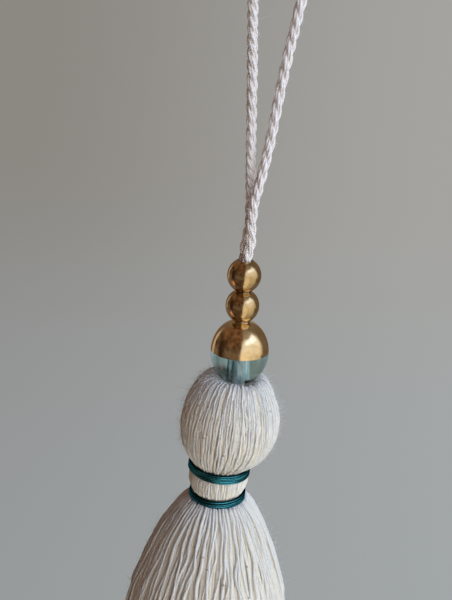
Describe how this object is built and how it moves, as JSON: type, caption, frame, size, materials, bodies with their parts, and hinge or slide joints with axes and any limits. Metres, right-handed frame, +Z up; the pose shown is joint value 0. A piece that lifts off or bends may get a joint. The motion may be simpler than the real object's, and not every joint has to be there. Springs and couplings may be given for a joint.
{
  "type": "beaded tassel",
  "caption": "Cotton tassel with a round head and long loose skirt, bound with thread, hung from a cord loop strung with gold beads and a half-gilded glass bead.",
  "frame": {"origin": "top of the inside of the cord loop, where it rests on whatever the tassel hangs from", "axes": "+Z up, against the pull of the weight; +X to the right and -Y towards the viewer when the loop is seen face on"},
  "size_m": [0.0488, 0.0489, 0.2215],
  "materials": {
    "cotton_cord": "natural cotton cord of three plies laid to the left, matt and slightly hairy",
    "polished_gold": "polished gold-coloured metal",
    "teal_glass": "clear blue-green glass, its upper half covered outside with polished gold plating",
    "cotton_yarn": "soft single cotton yarn, natural cream, matt",
    "green_thread": "dark bottle-green thread, wound side by side, with a slight sheen"
  },
  "bodies": {
    "root": {"hanging_cord": "cotton_cord", "bead_gold_upper": "polished_gold", "bead_gold_lower": "polished_gold", "bead_glass": "teal_glass", "yarn_bundle": "cotton_yarn", "binding_upper": "green_thread", "binding_lower": "green_thread"}
  },
  "joints": []
}
